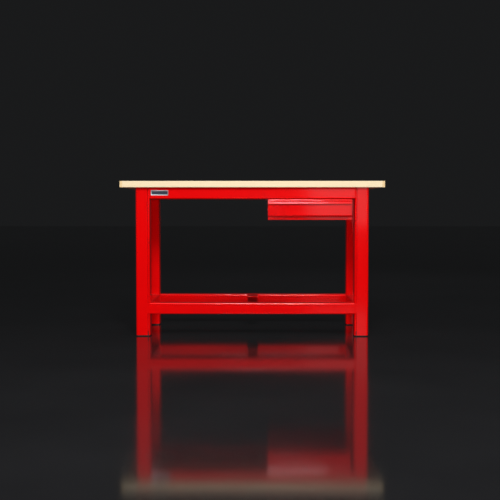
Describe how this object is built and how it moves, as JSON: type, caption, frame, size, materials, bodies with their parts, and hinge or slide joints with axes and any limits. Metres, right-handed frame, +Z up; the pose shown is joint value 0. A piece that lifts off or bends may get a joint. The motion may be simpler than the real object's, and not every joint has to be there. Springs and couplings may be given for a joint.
{
  "type": "workbench with drawer",
  "caption": "Welded steel workbench with a lipped wooden top, a ring of lower rails and a shallow drawer that slides out from under the right half of the top.",
  "frame": {"origin": "on the floor, under the middle of the worktop", "axes": "+X along the bench to the right as seen from the front, -Y towards the front (the drawer opens along -Y), +Z up"},
  "size_m": [1.5, 0.65, 0.886],
  "materials": {
    "frame_enamel": "gloss red powder coat on welded steel tube",
    "case_enamel": "gloss red powder coat on sheet steel",
    "drawer_enamel": "gloss red powder coat on sheet steel",
    "foot_plastic": "black moulded plastic",
    "top_wood": "pale board, clear matt lacquer",
    "lipping_wood": "pale hardwood lipping, clear matt lacquer",
    "fastener_zinc": "bright zinc plate",
    "plate_metal": "satin aluminium plate",
    "slide_zinc": "zinc plated rolled steel",
    "ball_steel": "polished steel balls"
  },
  "bodies": {
    "bench": {"case_back": "case_enamel", "case_bolts": "fastener_zinc", "case_front_tie": "case_enamel", "case_pan": "case_enamel", "case_rivets": "fastener_zinc", "case_side_left": "case_enamel", "case_side_right": "case_enamel", "foot_front_left": "foot_plastic", "foot_front_right": "foot_plastic", "foot_rear_left": "foot_plastic", "foot_rear_right": "foot_plastic", "leg_front_left": "frame_enamel", "leg_front_right": "frame_enamel", "leg_rear_left": "frame_enamel", "leg_rear_right": "frame_enamel", "lipping_front": "lipping_wood", "lipping_left": "lipping_wood", "lipping_rear": "lipping_wood", "lipping_right": "lipping_wood", "lower_rail_front": "frame_enamel", "lower_rail_left": "frame_enamel", "lower_rail_rear": "frame_enamel", "lower_rail_right": "frame_enamel", "name_plate": "plate_metal", "shelf_bearer": "frame_enamel", "slide_outer_left": "slide_zinc", "slide_outer_right": "slide_zinc", "top_lugs": "frame_enamel", "top_rail_front": "frame_enamel", "top_rail_left": "frame_enamel", "top_rail_rear": "frame_enamel", "top_rail_right": "frame_enamel", "top_screws": "fastener_zinc", "worktop_core": "top_wood"},
    "drawer": {"drawer_back": "drawer_enamel", "drawer_base": "drawer_enamel", "drawer_front": "drawer_enamel", "drawer_inner_front": "drawer_enamel", "drawer_pull": "drawer_enamel", "drawer_rivets": "fastener_zinc", "drawer_side_left": "drawer_enamel", "drawer_side_right": "drawer_enamel", "pull_cap_left": "drawer_enamel", "pull_cap_right": "drawer_enamel", "slide_inner_left": "slide_zinc", "slide_inner_right": "slide_zinc"},
    "cage_left": {"ball_cage_left": "slide_zinc", "slide_balls_left": "ball_steel"},
    "cage_right": {"ball_cage_right": "slide_zinc", "slide_balls_right": "ball_steel"}
  },
  "joints": [
    {"name": "drawer_slide", "type": "slide", "parent": "bench", "child": "drawer", "axis": [0, -1, 0], "range_m": [0, 0.35]},
    {"name": "cage_left_roll", "type": "slide", "parent": "bench", "child": "cage_left", "axis": [0, -1, 0], "range_m": [0, 0.175]},
    {"name": "cage_right_roll", "type": "slide", "parent": "bench", "child": "cage_right", "axis": [0, -1, 0], "range_m": [0, 0.175]}
  ],
  "couplings": [
    {"joint": "cage_left_roll", "follows": "drawer_slide", "ratio": 0.5},
    {"joint": "cage_right_roll", "follows": "drawer_slide", "ratio": 0.5}
  ]
}
